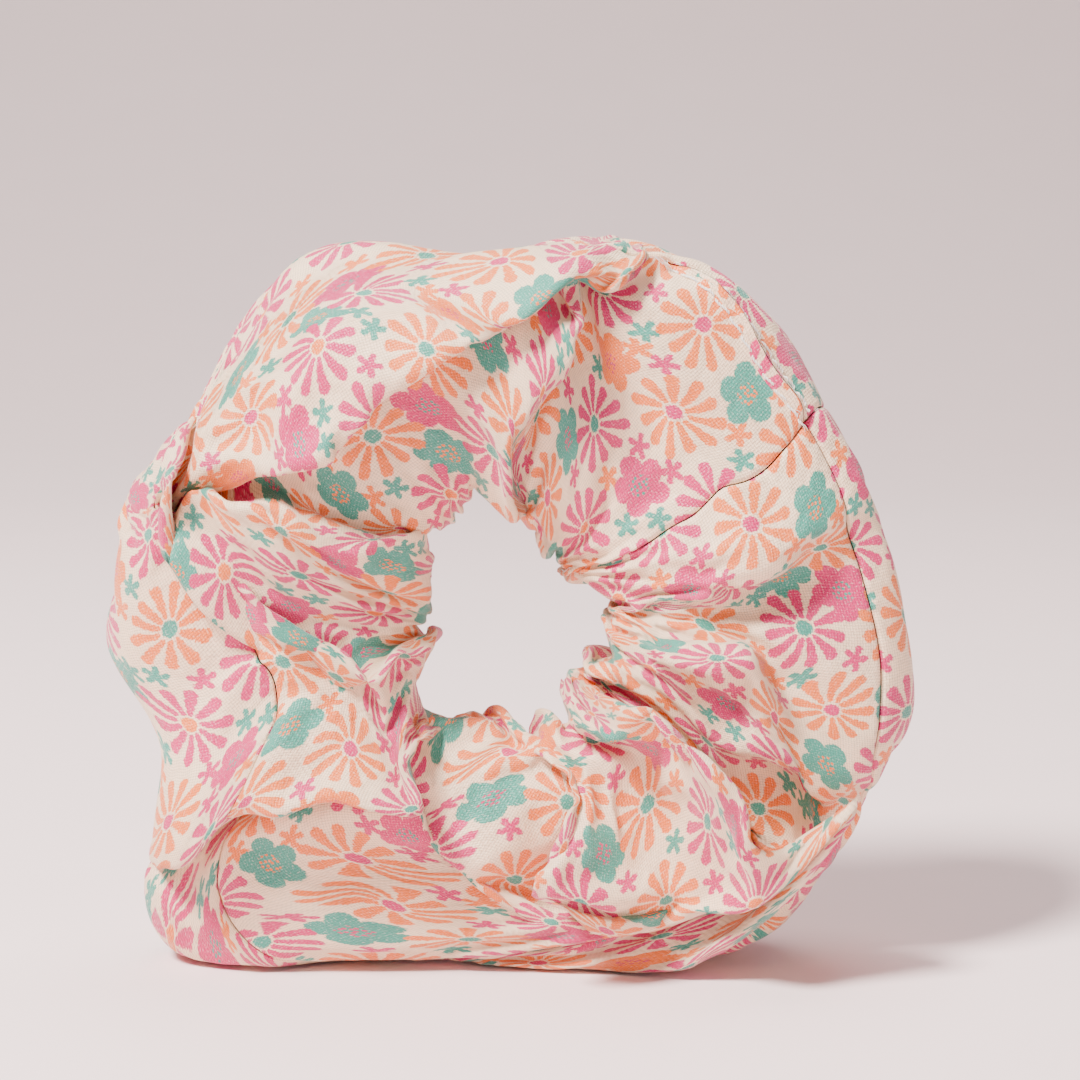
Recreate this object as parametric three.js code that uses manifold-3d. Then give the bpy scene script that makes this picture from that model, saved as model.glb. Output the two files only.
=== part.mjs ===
// A gathered cloth hair scrunchie, standing on its lower edge with its face towards -Y.
//
// A strip of printed cloth is sewn into a tube, the tube is gathered on a loop of flat elastic,
// and its two ends are joined.  The loop stretches along X: the sleeve is made as two hollow
// halves, one held and one pulled, that meet at the plane x = 0.
//
// Millimetres, +Z up, origin at the middle of the outline, on the surface that it stands on.

import * as THREE from 'three';
import { mergeVertices } from 'three/addons/utils/BufferGeometryUtils.js';
import Module from 'manifold-3d';

// ---- Driving dimensions -----------------------------------------------------------------

const overallWidth = 120;           // along X
const overallHeight = 108;          // along Z
const overallDepth = 42;            // along Y, front fold to back fold
const mouthWidth = 29;              // the hair opening, along X
const mouthHeight = 34;             // the hair opening, along Z
const mouthCentreHeight = 53.5;     // its middle above the surface
const restPatchSag = 3;             // how far the weight flattens the lower edge
const clothWall = 1.2;              // the gathered cloth, taken as one wall
const splitGap = 0.3;               // between the held and the pulled half

const elasticLoopWidth = 46;        // inside the flat elastic loop, along X
const elasticLoopHeight = 54;       // inside the flat elastic loop, along Z
const elasticWidth = 7;             // along Y
const elasticThickness = 1.2;
const elasticOverlap = 16;          // length of the two ends that are sewn together
const clearance = 0.3;              // between pieces that touch

const threadRadius = 0.3;
const stitchLength = 3.2;
const closingSeamLength = 30;       // the topstitched slit that the elastic went in through
const threadTailLength = 6;
const seamThreadRoom = 0.9;         // between the cloth's inside and a seam's thread

const gatherCount = 15;             // soft folds that the gathers make round the ring
const gatherRelief = 1.3;           // their height on the front and the back

// ---- Where the seams lie: turn in degrees anticlockwise from +X, lap in degrees round the tube ----
// Lap 0 is the outer edge, 90 the front, 180 the edge of the hair opening, 270 the back.

const crossSeamTurn = 34;
const closingSeamLap = 28;
const pulledSeamLap = 52;
const heldSeamLap = 96;
const tackTurn = 180;

// ---- The outline, as shares of the half sizes at equal turns from +X ----------------------

const reachShares = [1.0, 0.97, 0.95, 1.03, 0.99, 0.98, 1.05, 0.98, 0.96, 0.98,
  0.92, 1.1, 1.09, 0.95, 1.0, 1.06, 1.08, 1.06];
const mouthShares = [0.92, 0.76, 0.7, 0.72, 0.84, 0.98, 1.02, 1.04, 1.04, 0.94,
  0.94, 1.06, 1.08, 0.98, 1.0, 0.92, 0.86, 0.9];
const depthShares = [0.94, 0.9, 0.86, 0.9, 0.93, 0.9, 0.96, 1.0, 0.94, 0.98,
  0.9, 0.96, 1.0, 0.9, 0.95, 1.0, 0.98, 0.96];

const turnSteps = 27;               // round each half of the sleeve
const lapSteps = 22;                // round the tube
const sectionSquareness = 0.78;     // 1 is an ellipse, less is squarer
const radians = Math.PI / 180;

const wasm = await Module();
wasm.setup();

// ---- Shape of the sleeve ------------------------------------------------------------------

// A closed smooth curve through shares at equal turns.
function sharesCurve(shares) {
  const step = 2 * Math.PI / shares.length;
  return (turn) => {
    const place = ((turn / step) % shares.length + shares.length) % shares.length;
    const at = Math.floor(place);
    const f = place - at;
    const pick = (k) => shares[(at + k + shares.length) % shares.length];
    const [a, b, c, d] = [pick(-1), pick(0), pick(1), pick(2)];
    const slope = (c - a) / 2;
    const bend = a - 2.5 * b + 2 * c - d / 2;
    const twist = (d - a) / 2 + 1.5 * (b - c);
    return b + f * (slope + f * (bend + f * twist));
  };
}

const reachShare = sharesCurve(reachShares);
const mouthShare = sharesCurve(mouthShares);
const depthShare = sharesCurve(depthShares);

// The unit outline's own extents, so that the sleeve comes out at the overall sizes.
function outlineExtents() {
  const box = { left: 0, right: 0, low: 0, high: 0, depth: 0 };
  for (let k = 0; k < 720; k += 1) {
    const turn = k * 2 * Math.PI / 720;
    const reach = reachShare(turn);
    box.left = Math.min(box.left, reach * Math.cos(turn));
    box.right = Math.max(box.right, reach * Math.cos(turn));
    box.low = Math.min(box.low, reach * Math.sin(turn));
    box.high = Math.max(box.high, reach * Math.sin(turn));
    box.depth = Math.max(box.depth, depthShare(turn));
  }
  return box;
}

const extents = outlineExtents();
const softPower = (value) => Math.sign(value) * Math.abs(value) ** sectionSquareness;

// The outline's point at a turn, in X and Z.
function reachPoint(turn) {
  const reach = reachShare(turn);
  const across = (reach * Math.cos(turn) - extents.left) / (extents.right - extents.left);
  const up = (reach * Math.sin(turn) - extents.low) / (extents.high - extents.low);
  return [(across - 0.5) * overallWidth, up * (overallHeight + restPatchSag) - restPatchSag];
}

// The hair opening's edge at a turn, in X and Z.
function mouthPoint(turn) {
  const share = mouthShare(turn);
  return [
    share * Math.cos(turn) * mouthWidth / 2,
    mouthCentreHeight + share * Math.sin(turn) * mouthHeight / 2,
  ];
}

// A point of the sleeve: inset 0 is the outside of the cloth, clothWall the inside.
function sleevePoint(turn, lap, inset) {
  const [outX, outZ] = reachPoint(turn);
  const [inX, inZ] = mouthPoint(turn);
  const span = Math.hypot(outX - inX, outZ - inZ);
  const along = [(outX - inX) / span, (outZ - inZ) / span];
  const gather = gatherRelief * Math.cos(gatherCount * turn) * Math.abs(Math.sin(lap));
  const halfSpan = span / 2 - inset;
  const fullDepth = overallDepth / 2 - gatherRelief;
  const halfDepth = fullDepth * depthShare(turn) / extents.depth + gather - inset;
  const out = span / 2 + halfSpan * softPower(Math.cos(lap));
  return [
    inX + along[0] * out,
    -halfDepth * softPower(Math.sin(lap)),
    Math.max(inZ + along[1] * out, inset),
  ];
}

// ---- Mesh helpers ------------------------------------------------------------------------

function geometryFrom(points, triangles) {
  const geometry = new THREE.BufferGeometry();
  geometry.setAttribute('position', new THREE.Float32BufferAttribute(points.flat(), 3));
  geometry.setIndex(triangles);
  return geometry;
}

// Joins rings of equal length into a skin, and closes its two ends or joins them to each other.
function skinRings(rings, closed) {
  const size = rings[0].length;
  const points = rings.flat();
  const triangles = [];
  const last = closed ? rings.length : rings.length - 1;
  for (let k = 0; k < last; k += 1) {
    const near = k * size;
    const far = ((k + 1) % rings.length) * size;
    for (let j = 0; j < size; j += 1) {
      const next = (j + 1) % size;
      triangles.push(near + j, near + next, far + next);
      triangles.push(near + j, far + next, far + j);
    }
  }
  if (!closed) {
    const tail = (rings.length - 1) * size;
    for (let j = 1; j < size - 1; j += 1) {
      triangles.push(0, j + 1, j);
      triangles.push(tail, tail + j, tail + j + 1);
    }
  }
  return facedOut(geometryFrom(points, triangles));
}

// Turns every triangle over where the solid's volume comes out negative.
function facedOut(geometry) {
  const at = geometry.getAttribute('position');
  const index = [...geometry.getIndex().array];
  const corner = (k) => new THREE.Vector3().fromBufferAttribute(at, k);
  let volume = 0;
  for (let k = 0; k < index.length; k += 3) {
    volume += corner(index[k]).dot(corner(index[k + 1]).cross(corner(index[k + 2])));
  }
  if (volume < 0) {
    for (let k = 0; k < index.length; k += 3) {
      [index[k + 1], index[k + 2]] = [index[k + 2], index[k + 1]];
    }
    geometry.setIndex(index);
  }
  return geometry;
}

function toSolid(geometry) {
  const bare = geometry.clone();
  bare.deleteAttribute('normal');
  bare.deleteAttribute('uv');
  const merged = mergeVertices(bare, 1e-5);
  return new wasm.Manifold(new wasm.Mesh({
    numProp: 3,
    vertProperties: new Float32Array(merged.getAttribute('position').array),
    triVerts: new Uint32Array(merged.getIndex().array),
  }));
}

function fromSolid(solid) {
  const mesh = solid.getMesh();
  const geometry = new THREE.BufferGeometry();
  geometry.setAttribute('position', new THREE.Float32BufferAttribute(mesh.vertProperties, 3));
  geometry.setIndex([...mesh.triVerts]);
  return geometry;
}

// A round thread along points, or a ring of thread where the points close on themselves.
function threadAlong(points, radius, closed = false) {
  const path = points.map((point) => new THREE.Vector3(...point));
  const sides = 6;
  const rings = [];
  let across = new THREE.Vector3(0.31, 0.83, 0.47);
  path.forEach((here, k) => {
    const before = path[closed ? (k - 1 + path.length) % path.length : Math.max(k - 1, 0)];
    const after = path[closed ? (k + 1) % path.length : Math.min(k + 1, path.length - 1)];
    const along = after.clone().sub(before).normalize();
    across = across.clone().addScaledVector(along, -across.dot(along)).normalize();
    const other = new THREE.Vector3().crossVectors(along, across);
    const ring = [];
    for (let j = 0; j < sides; j += 1) {
      const angle = j * 2 * Math.PI / sides;
      const rim = here.clone()
        .addScaledVector(across, radius * Math.cos(angle))
        .addScaledVector(other, radius * Math.sin(angle));
      ring.push([rim.x, rim.y, rim.z]);
    }
    rings.push(ring);
  });
  if (closed) {
    return closedThread(rings, sides);
  }
  return skinRings(rings, false);
}

// The last ring of a closed thread meets the first one at its nearest corner.
function closedThread(rings, sides) {
  const gap = (a, b) => Math.hypot(a[0] - b[0], a[1] - b[1], a[2] - b[2]);
  const first = rings[0];
  const last = rings[rings.length - 1];
  const shifts = [...Array(sides).keys()];
  const shift = shifts.reduce((best, k) => (
    gap(last[0], first[k]) < gap(last[0], first[best]) ? k : best), 0);
  const points = rings.flat();
  const triangles = [];
  rings.forEach((ring, k) => {
    const wraps = k === rings.length - 1;
    const near = k * sides;
    const far = wraps ? 0 : near + sides;
    for (let j = 0; j < sides; j += 1) {
      const next = (j + 1) % sides;
      const farHere = far + (wraps ? (j + shift) % sides : j);
      const farNext = far + (wraps ? (next + shift) % sides : next);
      triangles.push(near + j, near + next, farNext);
      triangles.push(near + j, farNext, farHere);
    }
  });
  return facedOut(geometryFrom(points, triangles));
}

// ---- Sleeve halves -------------------------------------------------------------------------

// One hollow half of the sleeve, open where it meets the other half. side is +1 or -1 along X.
function sleeveHalf(side) {
  const middle = side > 0 ? 0 : Math.PI;
  const skins = [0, clothWall].map((inset) => {
    const rings = [];
    for (let k = 0; k <= turnSteps; k += 1) {
      const turn = middle - Math.PI / 2 + Math.PI * k / turnSteps;
      const atSplit = k === 0 || k === turnSteps;
      const ring = [];
      for (let j = 0; j < lapSteps; j += 1) {
        const point = sleevePoint(turn, 2 * Math.PI * j / lapSteps, inset);
        ring.push(atSplit ? [side * splitGap / 2, point[1], point[2]] : point);
      }
      rings.push(ring);
    }
    return rings;
  });
  // Out along the outside of the cloth and back along its inside makes one closed wall.
  return skinRings([...skins[0], ...skins[1].reverse()], true);
}

// ---- Threads --------------------------------------------------------------------------------

// Length of the sleeve's line at a lap between two turns.
function lineLength(lap, from, to) {
  const steps = 60;
  let length = 0;
  let before = sleevePoint(from, lap, 0);
  for (let k = 1; k <= steps; k += 1) {
    const here = sleevePoint(from + (to - from) * k / steps, lap, 0);
    length += Math.hypot(here[0] - before[0], here[1] - before[1], here[2] - before[2]);
    before = here;
  }
  return length;
}

// The closing seam's line runs on from the cross seam, round the outer edge.
function closingSeamTurns() {
  const lap = closingSeamLap * radians;
  const start = crossSeamTurn * radians;
  let end = start;
  while (lineLength(lap, start, end) < closingSeamLength) {
    end += 0.25 * radians;
  }
  return { lap, start, end };
}

const closing = closingSeamTurns();
const outsideInset = -(threadRadius + clearance);
const insideInset = clothWall + threadRadius + clearance;
const seamInset = clothWall + threadRadius + seamThreadRoom;

// Needle thread: over the cloth, through it and back, with a loose tail at each end.
function closingNeedlePoints() {
  const stitches = Math.max(3, Math.round(closingSeamLength / stitchLength));
  const step = (closing.end - closing.start) / stitches;
  const tail = step * threadTailLength / stitchLength;
  const at = (turn, lap, inset) => sleevePoint(turn, lap, inset);
  const points = [
    at(closing.start - tail, closing.lap + 0.16, outsideInset - 0.8),
    at(closing.start - tail * 0.6, closing.lap + 0.02, outsideInset - 0.5),
    at(closing.start - tail * 0.25, closing.lap + 0.03, outsideInset - 0.2),
  ];
  for (let k = 0; k < stitches; k += 1) {
    const turn = closing.start + k * step;
    points.push(at(turn, closing.lap, outsideInset));
    points.push(at(turn + step * 0.55, closing.lap, outsideInset));
    points.push(at(turn + step * 0.7, closing.lap, insideInset));
    points.push(at(turn + step * 0.85, closing.lap, insideInset));
  }
  points.push(at(closing.end, closing.lap, outsideInset));
  points.push(at(closing.end + tail * 0.4, closing.lap - 0.05, outsideInset - 0.3));
  points.push(at(closing.end + tail, closing.lap + 0.1, outsideInset - 0.9));
  return points;
}

// Bobbin thread: straight along the inside, just below where the needle thread turns back.
function closingBobbinPoints() {
  const steps = 18;
  const inset = insideInset + 2 * threadRadius + clearance;
  return [...Array(steps + 1).keys()].map((k) => sleevePoint(
    closing.start + (closing.end - closing.start) * k / steps, closing.lap, inset));
}

// The long seam joins the strip's two long edges: its thread lies against the inside of the cloth.
function longSeamPoints(side, lap) {
  const middle = side > 0 ? 0 : Math.PI;
  const stayBack = 4 * radians;
  const steps = 36;
  const reach = Math.PI - 2 * stayBack;
  return [...Array(steps + 1).keys()].map((k) => sleevePoint(
    middle - reach / 2 + reach * k / steps, lap * radians, seamInset));
}

// The cross seam joins the tube's two ends: a ring of thread inside the long seam's thread.
function crossSeamPoints() {
  const steps = 40;
  const inset = seamInset + 2 * threadRadius + clearance;
  const turn = crossSeamTurn * radians - 2 * clearance / overallHeight;
  return [...Array(steps).keys()].map((k) => sleevePoint(turn, 2 * Math.PI * k / steps, inset));
}

// ---- Elastic --------------------------------------------------------------------------------

const elasticMeanWidth = elasticLoopWidth + elasticThickness;
const elasticMeanHeight = elasticLoopHeight + elasticThickness;

// A point at a turn round the loop, set outwards from the middle of its thickness.
function elasticPoint(turn, out, y) {
  return [
    Math.cos(turn) * (elasticMeanWidth / 2 + out),
    y,
    mouthCentreHeight + Math.sin(turn) * (elasticMeanHeight / 2 + out),
  ];
}

// One strip, a little more than once round, so that its end lies outside its start.
function elasticStrip() {
  const lapTurn = elasticOverlap / (elasticMeanWidth / 2);
  const start = tackTurn * radians - lapTurn / 2;
  const full = 2 * Math.PI + lapTurn;
  const steps = 64;
  const rings = [];
  for (let k = 0; k <= steps; k += 1) {
    const along = full * k / steps;
    const rise = THREE.MathUtils.smoothstep(along, 2 * Math.PI - 2 * lapTurn, 2 * Math.PI - 0.2);
    const out = rise * (elasticThickness + clearance);
    const turn = start + along;
    const low = out - elasticThickness / 2;
    const high = out + elasticThickness / 2;
    rings.push([
      elasticPoint(turn, low, -elasticWidth / 2),
      elasticPoint(turn, high, -elasticWidth / 2),
      elasticPoint(turn, high, elasticWidth / 2),
      elasticPoint(turn, low, elasticWidth / 2),
    ]);
  }
  return skinRings(rings, false);
}

// The tack goes to and fro through both layers of the overlap.
function tackPoints() {
  const rows = 5;
  const edge = 1.1;
  const under = -elasticThickness / 2 - threadRadius - clearance;
  const over = elasticThickness * 1.5 + threadRadius + 2 * clearance;
  const points = [];
  for (let k = 0; k < rows; k += 1) {
    const y = -elasticWidth / 2 + edge + (elasticWidth - 2 * edge) * k / (rows - 1);
    const turn = tackTurn * radians + (k % 2 === 0 ? -0.05 : 0.05);
    const ends = k % 2 === 0 ? [under, over] : [over, under];
    points.push(elasticPoint(turn, ends[0], y));
    points.push(elasticPoint(turn, (ends[0] + ends[1]) / 2, y));
    points.push(elasticPoint(turn, ends[1], y));
  }
  return points;
}

// Cuts a thread's own way, with clearance, out of what it is sewn through.
function piercedBy(geometry, points) {
  const way = toSolid(threadAlong(points, threadRadius + clearance / 2));
  return fromSolid(toSolid(geometry).subtract(way));
}

// ---- Materials and assembly -------------------------------------------------------------------

function finish(color, roughness) {
  return new THREE.MeshStandardMaterial({ color, roughness, metalness: 0, flatShading: true });
}

const scrunchie = new THREE.Group();
scrunchie.name = 'scrunchie';

function addPiece(name, geometry, material) {
  const mesh = new THREE.Mesh(geometry, material);
  mesh.name = name;
  scrunchie.add(mesh);
}

const cloth = 0xf6dcc6;
const paleThread = 0xf4ede4;
const whiteElastic = 0xf1eeea;
const needlePoints = closingNeedlePoints();

addPiece('sleeve_held_half', sleeveHalf(-1), finish(cloth, 0.62));
addPiece('sleeve_pulled_half', piercedBy(sleeveHalf(1), needlePoints), finish(cloth, 0.62));
addPiece('elastic_loop', piercedBy(elasticStrip(), tackPoints()), finish(whiteElastic, 0.8));
addPiece('elastic_tack_thread', threadAlong(tackPoints(), threadRadius), finish(paleThread, 0.7));
addPiece('closing_needle_thread', threadAlong(needlePoints, threadRadius), finish(paleThread, 0.7));
addPiece('closing_bobbin_thread', threadAlong(closingBobbinPoints(), threadRadius),
  finish(paleThread, 0.7));
addPiece('long_seam_thread_held_half', threadAlong(longSeamPoints(-1, heldSeamLap), threadRadius),
  finish(paleThread, 0.7));
addPiece('long_seam_thread_pulled_half', threadAlong(longSeamPoints(1, pulledSeamLap), threadRadius),
  finish(paleThread, 0.7));
addPiece('cross_seam_thread', threadAlong(crossSeamPoints(), threadRadius, true),
  finish(paleThread, 0.7));

export default scrunchie;
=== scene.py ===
import math
import random
from collections import namedtuple

import bpy
import numpy as np
from bpy.props import FloatProperty, FloatVectorProperty, IntProperty, PointerProperty
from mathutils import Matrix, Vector
from mathutils.bvhtree import BVHTree


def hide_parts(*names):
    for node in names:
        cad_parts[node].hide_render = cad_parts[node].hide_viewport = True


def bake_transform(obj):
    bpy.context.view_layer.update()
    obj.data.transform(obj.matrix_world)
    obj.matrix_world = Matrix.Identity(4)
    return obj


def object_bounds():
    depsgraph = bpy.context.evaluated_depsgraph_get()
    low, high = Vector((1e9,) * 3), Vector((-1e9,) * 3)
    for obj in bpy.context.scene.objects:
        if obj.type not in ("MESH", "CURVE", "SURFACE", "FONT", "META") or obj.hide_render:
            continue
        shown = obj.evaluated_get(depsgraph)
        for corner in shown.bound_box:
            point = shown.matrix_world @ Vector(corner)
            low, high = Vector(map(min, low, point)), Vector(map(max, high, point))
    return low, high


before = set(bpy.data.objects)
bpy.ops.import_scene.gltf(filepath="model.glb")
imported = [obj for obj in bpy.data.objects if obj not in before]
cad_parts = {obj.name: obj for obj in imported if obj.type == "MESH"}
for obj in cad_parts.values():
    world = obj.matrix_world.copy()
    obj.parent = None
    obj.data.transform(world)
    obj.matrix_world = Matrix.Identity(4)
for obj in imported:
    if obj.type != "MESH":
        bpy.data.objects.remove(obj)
CAD_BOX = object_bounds()

bl_info = {
    "name": "Gathered Scrunchie",
    "version": (1, 0, 0),
    "blender": (4, 5, 0),
    "location": "3D View > Sidebar > Scrunchie",
    "description": "A printed cloth hair scrunchie: sewn sleeve, elastic, threads and a plain studio",
    "category": "Add Mesh",
}

MM = 0.001
TAU = 2 * math.pi


def middle_of(lowest, highest):
    return [(a + b) / 2 for a, b in zip(lowest, highest)]


RING_LOW, RING_HIGH = (list(corner) for corner in CAD_BOX)
RING_MIDDLE = middle_of(RING_LOW, RING_HIGH)
RING_HEIGHT = RING_HIGH[2] - RING_LOW[2]

# ---- The sleeve's gathers -----------------------------------------------------------------
#
# Turns are degrees anticlockwise from +X, seen from the front.  A share is 0 at the edge of the
# hair opening (the mouth) and 1 at the rim.  Lengths here are millimetres.

RIM_REACH = [60.5, 58, 55.5, 60.5, 56.5, 55.5, 60, 58, 61, 62, 58, 73, 63, 54, 55.6, 61, 62.5, 63]
MOUTH_REACH = [13.5, 11, 8.5, 9.5, 13, 16.5, 16.3, 15.6, 14.5, 12.5, 12.8, 17, 18.5, 16.5, 17.5,
               14.5, 12.5, 13.5]

# A fold that runs from the mouth to the rim: the side of larger turns (+1) or of smaller turns (-1)
# lies on top, by overlap, and stands forward by lift.  It fades in and out between two shares.
Fold = namedtuple("Fold", "name line side overlap lift fade_in fade_out crease")
ALWAYS_IN, ALWAYS_OUT = (-1, 0), (2, 3)
FOLDS = [
    Fold("right_upper", [(0, 2), (.25, 4), (.5, 9), (.75, 13.5), (1, 16)], 1, 4, 5,
         ALWAYS_IN, (.6, .95), 3),
    Fold("top_edge", [(0, 100), (.25, 90), (.5, 80), (.75, 77), (1, 73)], 1, 5.5, 6.5,
         ALWAYS_IN, ALWAYS_OUT, 3),
    Fold("left_corner", [(0, 155), (.3, 157), (.78, 165), (1, 170)], 1, 5, 7.5,
         ALWAYS_IN, ALWAYS_OUT, 3),
    Fold("left_diagonal", [(0, 206), (.27, 199), (.5, 188.6), (.76, 181), (1, 175)], 1, 4, 4.5,
         ALWAYS_IN, ALWAYS_OUT, 3),
    Fold("lower_left_edge", [(0, 238), (.27, 242), (.5, 240.5), (.7, 238), (1, 232)], -1, 7, 8,
         ALWAYS_IN, ALWAYS_OUT, 3.2),
    Fold("flap_left", [(0, 291), (.25, 286), (.45, 287), (.6, 291), (.75, 297)], 1, 8, 12.5,
         ALWAYS_IN, (.55, .8), 3),
    Fold("flap_right", [(0, 321), (.2, 331), (.4, 333), (.62, 332), (.72, 329), (.8, 321),
                        (.87, 315), (.93, 310), (1, 304)], -1, 11, 15,
         ALWAYS_IN, ALWAYS_OUT, 3.4),
    Fold("back_lobe", [(0, 328), (.5, 332), (.65, 334), (.85, 338), (1, 341)], 1, 3.5, 4,
         (.4, .65), (.85, 1), 2.6),
    Fold("right_lower", [(0, 338), (.25, 352), (.42, 358), (.48, 356), (.53, 348), (.6, 345),
                         (1, 345)], -1, 4, 6, ALWAYS_IN, (.5, .62), 2.6),
]

# A fold that runs round the ring on the front: its line gives the share at each turn.
Roll = namedtuple("Roll", "name line fade_in fade_out overlap lift rim_on_top crease")
ROLLS = [
    Roll("top_lobe", [(60, 1.1), (69, .98), (87, .75), (110, .57), (125, .52), (140, .5),
                      (153, .67), (168, .98), (180, 1.1)], (66, 84), (152, 170), 6, 8, True, 3),
    Roll("bottom_rim", [(225, 1.05), (235, .97), (255, .93), (265, .84), (287, .8), (302, .8),
                        (310, .9)], (236, 252), (290, 306), 3, 3.5, False, 2.6),
]

# Where the long seam lies: millimetres of cloth from the rim towards the front, at each turn.
SEAM_PATH = [(-40, -6), (-28, 4), (-18, 12), (5, 15), (26, 12), (36, 10), (50, 11), (64, 10),
             (80, 2), (100, -6), (140, -7), (155, -1), (170, 8), (180, 17), (190, 25), (209, 30),
             (225, 28), (240, 22), (262, 11), (290, 1), (320, -6)]
CROSS_SEAM_TURN = 34
CLOSING_LENGTH = 30.0    # topstitch beside the cross seam
CLEAR_OF_ELASTIC = 2.0   # from the elastic to the cloth
ELASTIC_DEPTH = 1.3      # how far inside the elastic's surface cloth can be found
UNDER_CLOTH = 0.8        # from the cloth to its turned-in allowances
FOLD_TAIL = 15.0         # where a fold's lift has died away on its upper side
ROLL_TAIL = 14.0         # the same for a roll
TUCK_REACH = 7.0         # cloth pressed back under a fold
ROLL_SPAN = 56.0         # cloth from rim to mouth that a roll moves
EDGE_SHARE = 0.8         # a fold's edge, as a share of its crease
LONG_SEAM_CREASE = 0.55
CROSS_SEAM_CREASE = 0.5


class SleeveSettings(bpy.types.PropertyGroup):
    """The cut and the gathering of the cloth"""
    cut_length: FloatProperty(name="Cut length", description="Strip length between its end seams",
                              default=0.400, unit="LENGTH")
    girth: FloatProperty(name="Girth", description="Strip width between its long seams",
                         default=0.122, unit="LENGTH")
    allowance: FloatProperty(name="Seam allowance", description="Cloth turned in at each seam",
                             default=0.006, unit="LENGTH")
    middle_radius: FloatProperty(name="Middle radius", description="Radius of the band's middle",
                                 default=0.037, unit="LENGTH")
    half_depth: FloatProperty(name="Half depth", description="From the ring's middle to a face",
                              default=0.011, unit="LENGTH")
    pleats: IntProperty(name="Pleats", description="Gathers round the mouth", default=12)
    stations: IntProperty(name="Stations", description="Cloth steps round the ring", default=240)
    rows: IntProperty(name="Rows", description="Cloth steps round the tube", default=68)
    frames: IntProperty(name="Frames", description="Steps of the cloth simulation", default=12)


class PrintSettings(bpy.types.PropertyGroup):
    """The flowers printed on the cloth"""
    cream: FloatVectorProperty(name="Ground", description="Cloth between the flowers",
                               default=(0.98, 0.70, 0.47), size=3, subtype="COLOR")
    pink: FloatVectorProperty(name="Pink", description="First flower colour",
                              default=(0.68, 0.010, 0.135), size=3, subtype="COLOR")
    orange: FloatVectorProperty(name="Orange", description="Second flower colour",
                                default=(0.94, 0.18, 0.022), size=3, subtype="COLOR")
    teal: FloatVectorProperty(name="Teal", description="Third flower colour",
                              default=(0.045, 0.31, 0.23), size=3, subtype="COLOR")
    repeat_width: FloatProperty(name="Repeat width", description="Print repeat along the strip",
                                default=0.051, unit="LENGTH")
    repeat_height: FloatProperty(name="Repeat height", description="Print repeat across the strip",
                                 default=0.045, unit="LENGTH")
    daisy: FloatProperty(name="Daisy radius", description="Centre to petal tip",
                         default=0.0065, unit="LENGTH")
    round_flower: FloatProperty(name="Round flower radius", description="Centre to lobe",
                                default=0.0046, unit="LENGTH")
    star: FloatProperty(name="Star radius", description="Centre to arm tip",
                        default=0.0020, unit="LENGTH")
    thread_pitch: FloatProperty(name="Thread pitch", description="Between threads of the weave",
                                default=0.00044, unit="LENGTH")


class ThreadSettings(bpy.types.PropertyGroup):
    """Sewing thread and elastic"""
    radius: FloatProperty(name="Thread radius", description="Half the thread's thickness",
                          default=0.00021, unit="LENGTH")
    stitch: FloatProperty(name="Stitch length", description="Between two needle holes",
                          default=0.0030, unit="LENGTH")
    colour: FloatVectorProperty(name="Thread", description="Pale sewing thread",
                                default=(0.86, 0.80, 0.74), size=3, subtype="COLOR")
    elastic: FloatVectorProperty(name="Elastic", description="Braided elastic",
                                 default=(0.82, 0.80, 0.77), size=3, subtype="COLOR")


class StageSettings(bpy.types.PropertyGroup):
    """Floor, light and camera"""
    floor: FloatVectorProperty(name="Floor", description="Pale matt floor",
                               default=(0.92, 0.74, 0.74), size=3, subtype="COLOR")
    view_width: FloatProperty(name="View width", description="Width that the picture takes in",
                              default=0.1565, unit="LENGTH")
    elevation: FloatProperty(name="Camera elevation", description="Camera's angle over the floor",
                             default=math.radians(9), subtype="ANGLE", unit="ROTATION")
    lens: FloatProperty(name="Lens", description="Focal length in millimetres", default=90)


# ---- Shape of the gathered sleeve -----------------------------------------------------------

def smooth(x, a, b):
    t = np.clip((x - a) / (b - a), 0, 1)
    return t * t * (3 - 2 * t)


def rim_share(lap):
    """0 at the mouth and 1 at the rim.  Lap is 0 at the rim and pi at the mouth, over the front."""
    return (1 + np.cos(lap)) / 2


def front_share(lap):
    """1 on the front and 0 on the back, smooth between."""
    return 0.5 + 0.5 * np.tanh(3 * np.sin(lap))


def smoothed_ring(values, reach):
    """A weighted running mean round a closed line."""
    kernel = np.hanning(2 * reach + 1)
    joined = np.concatenate([values[-reach:], values, values[:reach]])
    return np.convolve(joined, kernel / kernel.sum(), "valid")


def distance_along(path):
    steps = np.linalg.norm(np.diff(path, axis=0), axis=-1)
    return np.concatenate([[0], np.cumsum(steps)])


def unit(vectors):
    return vectors / np.maximum(np.linalg.norm(vectors, axis=-1, keepdims=True), 1e-9)


def reach_curve(values):
    """A smooth closed curve through reaches at equal turns."""
    values = np.asarray(values, float)
    count = len(values)

    def at(angle):
        place = (angle / (TAU / count)) % count
        whole = np.floor(place).astype(int)
        f = place - whole
        a, b, c, d = (values[(whole + k) % count] for k in (-1, 0, 1, 2))
        bend = a - 2.5 * b + 2 * c - d / 2
        return b + f * ((c - a) / 2 + f * (bend + f * ((d - a) / 2 + 1.5 * (b - c))))
    return at


rim_at = reach_curve(RIM_REACH)
mouth_at = reach_curve(MOUTH_REACH)


def fold_turn(fold, share):
    shares, turns = zip(*fold.line)
    return np.radians(np.interp(share, shares, turns))


def mean_turn(fold):
    return sum(turn for _, turn in fold.line) / len(fold.line)


def folds_in_order():
    return sorted(FOLDS, key=mean_turn)


def cloth_round_ring(radius):
    """Millimetres of cloth once round the band's middle, with what the folds take up."""
    return TAU * radius + sum(2 * fold.overlap for fold in FOLDS)


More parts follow.
